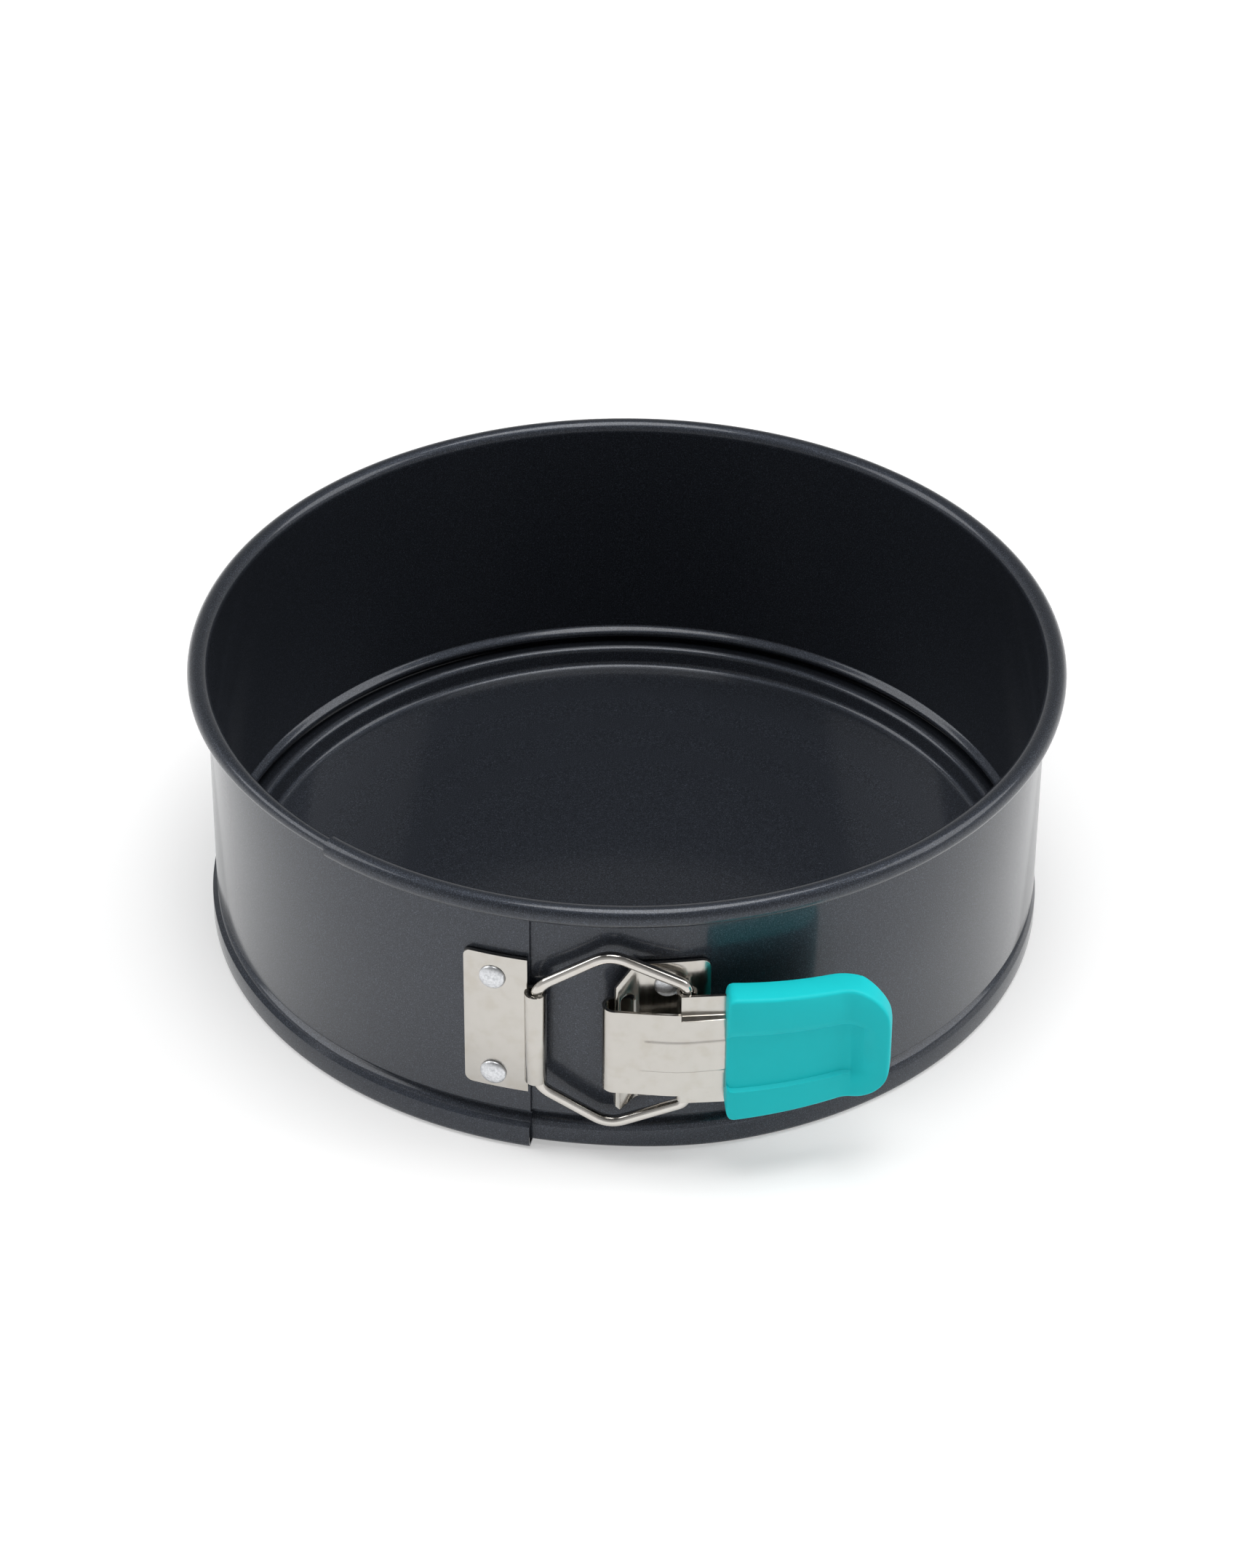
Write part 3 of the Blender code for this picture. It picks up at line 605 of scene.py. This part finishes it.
def make_band_stretch(name, start_turn, end_turn, material):
    """Sheet of the band between two turns in degrees from the outer cut edge."""
    rings = []
    for turn in spread(start_turn, end_turn, round((end_turn - start_turn) / BAND_STEP_DEG)):
        ring = []
        for point in ribbon(band_centre_line(turn), BAND_SHEET):
            plan = polar(point.x, OUTER_END_DEG - turn)
            ring.append((plan.x, plan.y, point.y))
        rings.append(ring)
    return add_piece(name, skin(rings), material, sharp_deg=40.0)


def make_side_band(material):
    """Two halves of one sheet: the right one is fixed, and the left one is baked in place on no body."""
    left = make_band_stretch("band_left", 0.0, BACK_TURN_DEG, material)
    right = make_band_stretch("band_right", BACK_TURN_DEG, FULL_TURN_DEG + OVERLAP_DEG, material)
    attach(right, "ring")
    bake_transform(left)
    for piece in (left, right):
        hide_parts("side_band")


# Base plate
def make_base_plate(material):
    """Dish turned from its upper face, with the same sheet thickness under it all over."""
    ridge = BASE_RADIUS - BASE_RIDGE_INSET
    floor = BASE_RADIUS - FLOOR_INSET
    corners = [
        Vector((BASE_RADIUS, BASE_RIDGE_HEIGHT - BASE_EDGE_DROP)),
        Vector((ridge + BASE_SHOULDER_REACH, BASE_RIDGE_HEIGHT - BASE_SHOULDER_DROP)),
        Vector((ridge - BASE_CREST_INSET, BASE_RIDGE_HEIGHT + BASE_CREST_RISE)),
        Vector((floor + BASE_FILLET, BASE_SHEET)),
        Vector((0.0, BASE_SHEET)),
    ]
    top = rounded(corners, BASE_BEND, steps=8)
    bottom = []
    for before, point, after in zip([top[0]] + top, top, top[1:] + [top[-1]]):
        along = (after - before).normalized()
        under = point + Vector((along.y, -along.x)) * BASE_SHEET
        bottom.append(Vector((under.x, max(under.y, 0.0))))
    bottom[0].x = BASE_RADIUS
    bottom[-1] = Vector((0.0, 0.0))
    piece = add_piece("base_dish", turned(bottom[::-1] + top, BASE_SEGMENTS), material, sharp_deg=50.0)
    place(piece, "base", "base_plate")


# Rivets
def make_rivet(node, body, degrees, height, seat, shank_end, material):
    """Domed head with a low rim, on its shank."""
    profile = [Vector((0.0, seat + RIVET_DOME))]
    for angle_deg in spread(QUARTER_DEG / RIVET_RINGS, QUARTER_DEG, RIVET_RINGS - 1):
        angle = math.radians(angle_deg)
        rise = RIVET_RIM + (RIVET_DOME - RIVET_RIM) * math.cos(angle)
        profile.append(Vector((RIVET_HEAD * math.sin(angle), seat + rise)))
    profile.append(Vector((RIVET_HEAD, seat)))
    profile.append(Vector((RIVET_SHANK, seat)))
    profile.append(Vector((RIVET_SHANK, shank_end)))
    profile.append(Vector((0.0, shank_end)))
    bm = turned(profile, RIVET_SEGMENTS)
    lift = Matrix.Translation((0.0, 0.0, height))
    swing = Matrix.Rotation(math.radians(degrees), 4, "Z")
    tip_out = Matrix.Rotation(math.radians(QUARTER_DEG), 4, "X")
    bmesh.ops.transform(bm, matrix=lift @ swing @ tip_out, verts=bm.verts)
    place(add_piece(f"{node}_head", bm, material), body, node)


def make_rivets(material):
    """Two rivets through the keeper plate and two through the bracket."""
    keeper_deg = azimuth(KEEPER_RIVET_X, KEEPER_INNER)
    keeper_seat = KEEPER_INNER + PLATE_SHEET + RIVET_LIE
    for word, rise in (("upper", KEEPER_RIVET_HALF_SPACING), ("lower", -KEEPER_RIVET_HALF_SPACING)):
        make_rivet(f"keeper_rivet_{word}", "keeper", keeper_deg, LATCH_HEIGHT + rise, keeper_seat,
                   WALL_MID + LAYER_STEP, material)
    bracket_deg = azimuth(BRACKET_RIVET_X, BRACKET_INNER)
    bracket_seat = BRACKET_INNER + PLATE_SHEET + RIVET_LIE
    for word, rise in (("upper", BRACKET_RIVET_RISE), ("lower", -BRACKET_RIVET_DROP)):
        make_rivet(f"bracket_rivet_{word}", "ring", bracket_deg, LATCH_HEIGHT + rise, bracket_seat,
                   WALL_MID, material)


# Keeper
def make_keeper(material):
    """Plate bent to the band, with its edge curled round the wire as a barrel."""
    mid = KEEPER_INNER + PLATE_SHEET / 2
    eye = EYE_RADIUS + PLATE_SHEET / 2
    start = azimuth(KEEPER_LEFT_X - PLATE_SHEET, mid)
    stop = azimuth(BARREL.x - BARREL_LEAD, mid)
    points = [polar(mid, degrees) for degrees in spread(start, stop, steps=20)]
    sheet = prism(ribbon(points, PLATE_SHEET), KEEPER_DROP + PLATE_SHEET, KEEPER_RISE + PLATE_SHEET)
    piece = add_piece("keeper_sheet", sheet, material)
    left = KEEPER_LEFT_X + KEEPER_CORNER
    face = corner(left, KEEPER_RISE - KEEPER_CORNER, KEEPER_CORNER, QUARTER_DEG)
    face += corner(left, KEEPER_CORNER - KEEPER_DROP, KEEPER_CORNER, 2 * QUARTER_DEG)
    face.append(Vector((KEEPER_TAB_X, -KEEPER_DROP)))
    face.append(Vector((KEEPER_TAB_X, KEEPER_RISE)))
    boolean(piece, front_prism(face), "INTERSECT")
    toward_axis = math.degrees(math.atan2(-BARREL.y, -BARREL.x))
    curl = [polar(mid, azimuth(KEEPER_TAB_X - PLATE_SHEET, mid))]
    curl += arc(BARREL, eye, toward_axis, toward_axis - CURL_DEG, steps=40)
    outline = ribbon(curl, BARREL_THINNING * PLATE_SHEET)
    barrel = prism(outline, BARREL_HALF_LENGTH, BARREL_HALF_LENGTH)
    boolean(piece, barrel, "UNION")
    finish_sheet(piece, material)
    place(piece, "keeper", "keeper_plate")


# Bracket
def make_bracket(material):
    """Plate bent to the band, with a flange that slants out to the rail, cut to its outline and window."""
    mid = BRACKET_INNER + PLATE_SHEET / 2
    right_deg = azimuth(BRACKET_RIGHT_X + PLATE_SHEET, mid)
    bend_deg = azimuth(BRACKET_BEND_X, mid)
    points = [polar(mid, degrees) for degrees in spread(right_deg, bend_deg, steps=12)]
    along = (RAIL - points[-1]).normalized()
    rail_left = RAIL + along * (RAIL_WIDTH / 2)
    rail_right = RAIL - along * (RAIL_WIDTH / 2)
    flange = rounded(points[-2:] + [rail_left], FLANGE_BEND)
    outline = ribbon(points[:-2] + flange, PLATE_SHEET)
    sheet = prism(outline, FLANGE_TIP_DROP + PLATE_SHEET, BRACKET_RISE + PLATE_SHEET)
    piece = add_piece("bracket_sheet", sheet, material)

    left = rail_left.x - PLATE_SHEET
    right = BRACKET_RIGHT_X - BRACKET_CORNER
    face = [Vector((left, -FLANGE_FOOT_DROP))]
    face.append(Vector((FLANGE_TIP_X, -FLANGE_TIP_DROP)))
    face.append(Vector((FLANGE_RETURN_X, -BRACKET_DROP)))
    face += corner(right, BRACKET_CORNER - BRACKET_DROP, BRACKET_CORNER, -QUARTER_DEG)
    face += corner(right, BRACKET_RISE - BRACKET_CORNER, BRACKET_CORNER, 0.0)
    face.append(Vector((FLANGE_TOP_X, BRACKET_RISE)))
    face.append(Vector((left, FLANGE_HEAD_RISE)))
    boolean(piece, front_prism(face), "INTERSECT")

    near = rail_right.x + WINDOW_CORNER
    far = WINDOW_RIGHT_X - WINDOW_CORNER
    rise = WINDOW_HALF_HEIGHT - WINDOW_CORNER
    window = corner(far, rise, WINDOW_CORNER, 0.0)
    window += corner(near, rise, WINDOW_CORNER, QUARTER_DEG)
    window += corner(near, -rise, WINDOW_CORNER, 2 * QUARTER_DEG)
    window += corner(far, -rise, WINDOW_CORNER, 3 * QUARTER_DEG)
    boolean(piece, front_prism(window), "DIFFERENCE")
    finish_sheet(piece, material)
    place(piece, "ring", "lever_bracket")


# Bail
def make_bail(material):
    """Wire along the half route above the latch's middle, and its mirror image below."""
    apex = BARREL.lerp(HOOK, (BAIL_APEX_X - BARREL.x) / (HOOK.x - BARREL.x))
    half_route = [
        (BARREL, BARREL_HALF_LENGTH + EYE_RADIUS),
        (apex, BAIL_APEX_HALF_HEIGHT),
        (HOOK, EAR_HALF_HEIGHT + EYE_RADIUS),
        (HOOK, LEVER_HALF_HEIGHT + WIRE_END),
    ]
    upper = [Vector((p.x, p.y, LATCH_HEIGHT + h)) for p, h in half_route]
    lower = [Vector((p.x, p.y, LATCH_HEIGHT - h)) for p, h in half_route]
    points = rounded(upper[::-1] + lower, WIRE_BEND, steps=10)
    curve = bpy.data.curves.new("bail_wire", "CURVE")
    curve.dimensions = "3D"
    curve.bevel_depth = WIRE_RADIUS
    curve.bevel_resolution = 6
    curve.use_fill_caps = True
    spline = curve.splines.new("POLY")
    spline.points.add(len(points) - 1)
    for knot, point in zip(spline.points, points):
        knot.co = (*point, 1.0)
    spline.use_smooth = True
    curve.materials.append(material)
    piece = bpy.data.objects.new("bail_wire", curve)
    bpy.context.collection.objects.link(piece)
    place(piece, "bail", "wire_bail")


# Lever
def grip_arc(x, radius):
    """Plan point at a given X on one of the arcs that the grip's face, middle and back follow."""
    run = x - GRIP_CENTRE.x
    return Vector((x, GRIP_CENTRE.y - math.sqrt(radius * radius - run * run)))


def grip_axis(x):
    """Plan point at a given X on the grip's middle, which the tang follows."""
    return grip_arc(x, GRIP_FACE_RADIUS - GRIP_THICKNESS / 2)


def lever_route():
    """Plan polyline of the lever's sheet, from the hook's tip round the rail and on into the grip."""
    front = RAIL.y - LOOP_FRONT
    back = RAIL.y + LOOP_BACK
    radius = (back - front) / 2
    centre = Vector((RAIL.x - LOOP_LEFT + LEVER_SHEET / 2 + radius, (front + back) / 2))
    tip = Vector((RAIL.x + LOOP_TIP, back - LOOP_TIP_TURN))
    hook = [tip, Vector((RAIL.x + LOOP_TIP_SHARE * LOOP_TIP, back))]
    hook += arc(centre, radius, QUARTER_DEG, 3 * QUARTER_DEG, steps=24)
    tang = [grip_axis(x) for x in spread(GRIP_LEFT_X, TANG_END_X, steps=8)]
    knee = rounded([hook[-1], KNEE, tang[0]], LEVER_KNEE_BEND, steps=8)
    return hook[:-1] + knee + tang[1:]


def rib_rise(point, height):
    """Height of the stamped stiffening rib over the lever's face; none on the hook's back."""
    if point.y > RAIL.y and point.x < LEVER_KNEE_X:
        return 0.0
    start = smooth((point.x - RIB_START_X) / RIB_RUN)
    end = smooth((GRIP_LEFT_X + 2 * RIB_RUN - point.x) / RIB_RUN)
    edge = RIB_UPPER_EDGE if height > 0.0 else RIB_LOWER_EDGE
    return RIB_RISE * start * end * smooth((RIB_HALF_HEIGHT - abs(height)) / edge)


def joggle_lines(route, eye):
    """Plan lines of the lever's face beside an ear, and of the ear's strip that lies behind it."""
    start = HOOK.y - eye
    stop = grip_axis(GRIP_LEFT_X).y + EAR_STEP
    right = GRIP_LEFT_X + CLEARANCE
    half_step_back = -0.5
    face = [p for p in route if JOGGLE_LEFT_X < p.x < right and p.y < RAIL.y]
    face = [face[0].lerp(face[1], half_step_back)] + face
    strip = []
    for point in face:
        strip.append(Vector((point.x, start + (stop - start) * (point.x - HOOK.x) / (right - HOOK.x))))
    return face, strip


def make_joggle(face, strip, side):
    """Bmesh of the sheet that bends back from the lever's face to one ear's strip."""
    faces = [ribbon(face, LEVER_SHEET), ribbon(strip, LEVER_SHEET)]
    levels = spread(JOGGLE_LOW, JOGGLE_HIGH, steps=8) + [EAR_HALF_HEIGHT]
    rings = []
    for level in levels:
        share = smooth((level - JOGGLE_LOW) / (JOGGLE_HIGH - JOGGLE_LOW))
        height = LATCH_HEIGHT + side * level
        rings.append([(p.x, p.y + (q.y - p.y) * share, height) for p, q in zip(*faces)])
    return skin(rings)


def make_lever(material):
    """Ribbed sheet along the lever's route, notched for the ears, which curl round the wire's ends."""
    route = dense(lever_route(), LEVER_STEP)
    outline = ribbon(route, LEVER_SHEET)
    rings = []
    for height in spread(-LEVER_HALF_HEIGHT, LEVER_HALF_HEIGHT, LEVER_ROWS):
        rings.append([(p.x, p.y - rib_rise(p, height), LATCH_HEIGHT + height) for p in outline])
    piece = add_piece("lever_sheet", skin(rings), material)
    eye = EYE_RADIUS + LEVER_SHEET / 2
    face, strip = joggle_lines(route, eye)
    curl = arc(HOOK, eye, -QUARTER_DEG - CURL_DEG, -QUARTER_DEG, steps=40)
    curl.append(curl[-1] + Vector((LEVER_SHEET, 0.0)))
    ear = ribbon(curl, EAR_THINNING * LEVER_SHEET)
    for side in (1.0, -1.0):
        low, high = side * JOGGLE_LOW, 2 * side * LEVER_HALF_HEIGHT
        notch = [Vector((face[0].x, low)), Vector((face[-1].x, low)),
                 Vector((face[-1].x, high)), Vector((face[0].x, high))]
        boolean(piece, front_prism(notch), "DIFFERENCE")
        boolean(piece, make_joggle(face, strip, side), "UNION")
    boolean(piece, prism(ear, -JOGGLE_HIGH, EAR_HALF_HEIGHT), "UNION")
    boolean(piece, prism(ear, EAR_HALF_HEIGHT, -JOGGLE_HIGH), "UNION")
    finish_sheet(piece, material, angle_deg=50.0)
    place(piece, "lever", "latch_lever")


# Grip
def grip_face(x):
    """Plan point on the grip's front: an arc, then a lip that turns outwards after a round blend."""
    run = max(x - LIP_START_X, 0.0)
    blend = min(run, LIP_BLEND)
    reach = LIP_SLOPE * (blend * blend / (2 * LIP_BLEND) + run - blend)
    return grip_arc(x, GRIP_FACE_RADIUS) - Vector((0.0, reach))


def round_off(distance, radius):
    """How far a round edge lies inside its corner, at a distance from the end."""
    short = max(radius - distance, 0.0)
    return radius - math.sqrt(max(radius * radius - short * short, 0.0))


def channel_roll(depth, edge, radius):
    """Round from the grip's face down to the channel's floor, as (depth, height) points above an edge."""
    points = []
    for angle in spread(0.0, math.pi / 2, steps=8):
        sink = depth * (1.0 - math.cos(angle))
        points.append(Vector((sink, edge + radius * (1.0 - math.sin(angle)))))
    return points


def grip_section(x):
    """Closed loop of (depth behind the face, height) points across the grip at a given X."""
    from_left = x - GRIP_LEFT_X
    from_right = GRIP_RIGHT_X - x
    share = from_left / (GRIP_RIGHT_X - GRIP_LEFT_X)
    full = mix((GRIP_LEFT_HALF_HEIGHT, GRIP_RIGHT_HALF_HEIGHT), share)
    top = full - round_off(from_left, GRIP_LEFT_CORNER) - round_off(from_right, GRIP_RIGHT_CORNER)
    thinning = smooth((x - LIP_START_X) / (GRIP_RIGHT_X - LIP_START_X))
    back = mix((GRIP_THICKNESS, GRIP_TIP_THICKNESS), thinning)
    fade = smooth((x - CHANNEL_FADE_X) / (CHANNEL_END_X - CHANNEL_FADE_X))
    channel = CHANNEL_DEPTH * (1.0 - fade)
    shrink = top / full
    upper = mix(CHANNEL_RISE, share) * shrink
    lower = -mix(CHANNEL_DROP, share) * shrink
    flank = CHANNEL_FLANK / 2 * shrink
    roll = channel_roll(channel, upper, CHANNEL_ROLL * shrink)
    upper_half = [
        Vector((back, 0.0)),
        Vector((back, top)),
        Vector((CREASE_FALL, top)),
        Vector((0.0, mix(CREASE_RISE, share) * shrink)),
        roll[0],
    ]
    lower_half = [
        Vector((0.0, lower - flank)),
        Vector((0.0, -top)),
        Vector((back, -top)),
        Vector((back, 0.0)),
    ]
    recess = roll[1:] + [Vector((channel, lower + flank))]
    outline = rounded(upper_half, GRIP_EDGE, steps=6) + recess
    outline += rounded(lower_half, GRIP_EDGE, steps=6)[:-1]
    inset = round_off(min(from_left, from_right), GRIP_EDGE)
    loop = []
    for point in outline:
        depth = inset + point.x * (back - 2 * inset) / back
        loop.append(Vector((depth, point.y * (top - inset) / top)))
    return loop


def make_grip(material):
    """Sleeve through the grip's sections, which stand square to its face and crowd at its ends."""
    nudge = GRIP_EDGE / 4
    rings = []
    for angle in spread(0.0, math.pi, GRIP_STEPS):
        x = mix((GRIP_LEFT_X, GRIP_RIGHT_X), 0.5 - 0.5 * math.cos(angle))
        step = (grip_face(x + nudge) - grip_face(x - nudge)).normalized()
        inward = Vector((-step.y, step.x))
        ring = []
        for point in grip_section(x):
            plan = grip_face(x) + inward * point.x
            ring.append((plan.x, plan.y, LATCH_HEIGHT + point.y))
        rings.append(ring)
    piece = add_piece("grip_sleeve", skin(rings), material, sharp_deg=60.0)
    place(piece, "lever", "lever_grip")


# Stage, light and camera
def math_node(tree, operation, first, second):
    """Output of a math node on a socket and another socket or a plain number."""
    node = tree.nodes.new("ShaderNodeMath")
    node.operation = operation
    tree.links.new(first, node.inputs[0])
    if isinstance(second, float):
        node.inputs[1].default_value = second
    else:
        tree.links.new(second, node.inputs[1])
    return node.outputs[0]


def make_floor():
    """White studio floor; it shows to the lens and in the metal a little brighter than it is lit."""
    bm = bmesh.new()
    outline = ((-1, -1), (1, -1), (1, 1), (-1, 1))
    bm.faces.new([bm.verts.new((x * FLOOR_HALF_SIZE, y * FLOOR_HALF_SIZE, 0.0)) for x, y in outline])
    material, tree, shader = new_material("studio_white")
    shader.inputs["Base Color"].default_value = (*grey(FLOOR_TONE), 1.0)
    shader.inputs["Roughness"].default_value = 0.6
    shader.inputs["Specular IOR Level"].default_value = 0.0
    glow = tree.nodes.new("ShaderNodeEmission")
    path = tree.nodes.new("ShaderNodeLightPath")
    seen = math_node(tree, "MAXIMUM", path.outputs["Is Camera Ray"], path.outputs["Is Glossy Ray"])
    shown = math_node(tree, "MAXIMUM", seen, path.outputs["Is Transmission Ray"])
    level = math_node(tree, "MULTIPLY", shown, FLOOR_GLOW)
    tree.links.new(level, glow.inputs["Strength"])
    total = tree.nodes.new("ShaderNodeAddShader")
    tree.links.new(shader.outputs["BSDF"], total.inputs[0])
    tree.links.new(glow.outputs["Emission"], total.inputs[1])
    tree.links.new(total.outputs["Shader"], tree.nodes["Material Output"].inputs["Surface"])
    floor = add_piece("floor", bm, material)
    floor.location.z = -FLOOR_DROP


def make_world():
    """Studio round the table: pale low down, dark overhead."""
    world = bpy.data.worlds.new("studio")
    bpy.context.scene.world = world
    world.use_nodes = True
    tree = world.node_tree
    spot = tree.nodes.new("ShaderNodeTexCoord")
    split = tree.nodes.new("ShaderNodeSeparateXYZ")
    tree.links.new(spot.outputs["Generated"], split.inputs["Vector"])
    sky = ramp(tree, split.outputs["Z"], [(position, grey(level)) for position, level in SKY_STOPS])
    tree.links.new(sky.outputs["Color"], tree.nodes["Background"].inputs["Color"])


def make_lights():
    """Soft boxes, all turned to the pan."""
    for name, position, size, power in LIGHTS:
        data = bpy.data.lights.new(name, "AREA")
        data.shape = "RECTANGLE"
        data.size, data.size_y = size
        data.energy = power
        light = bpy.data.objects.new(name, data)
        light.location = position
        aim = Vector(LIGHT_TARGET) - Vector(position)
        light.rotation_euler = aim.to_track_quat("-Z", "Y").to_euler()
        bpy.context.collection.objects.link(light)


def make_camera():
    """Camera of the photograph; its sensor's width lies along the frame's longer side, the height."""
    data = bpy.data.cameras.new("photo_camera")
    data.sensor_width = SENSOR
    data.lens = FOCAL_PX / IMAGE_HEIGHT_PX * SENSOR
    data.clip_end = CAMERA_CLIP_END
    camera = bpy.data.objects.new("photo_camera", data)
    forward = Vector((0.0, math.cos(CAMERA_PITCH), -math.sin(CAMERA_PITCH)))
    level = Vector((1.0, 0.0, 0.0))
    rise = level.cross(forward)
    right = level * math.cos(CAMERA_ROLL) + rise * math.sin(CAMERA_ROLL)
    up = rise * math.cos(CAMERA_ROLL) - level * math.sin(CAMERA_ROLL)
    turn = Matrix((right, up, -forward)).transposed().to_4x4()
    camera.matrix_world = Matrix.Translation((0.0, -CAMERA_BACK, CAMERA_UP)) @ turn
    bpy.context.collection.objects.link(camera)
    bpy.context.scene.camera = camera


def main():
    nickel = nickel_material("nickel_plate", NICKEL_TONE, NICKEL_ROUGHNESS)
    make_side_band(coating_material("band_coating", COAT_TONE))
    make_base_plate(coating_material("base_coating", COAT_TONE))
    make_rivets(aluminium_material())
    make_keeper(nickel)
    make_bracket(nickel)
    make_bail(nickel_material("nickel_wire", WIRE_TONE, WIRE_ROUGHNESS))
    make_lever(nickel)
    make_grip(silicone_material())
    make_floor()
    make_world()
    make_lights()
    make_camera()
    bpy.context.scene.view_settings.view_transform = "Standard"


main()
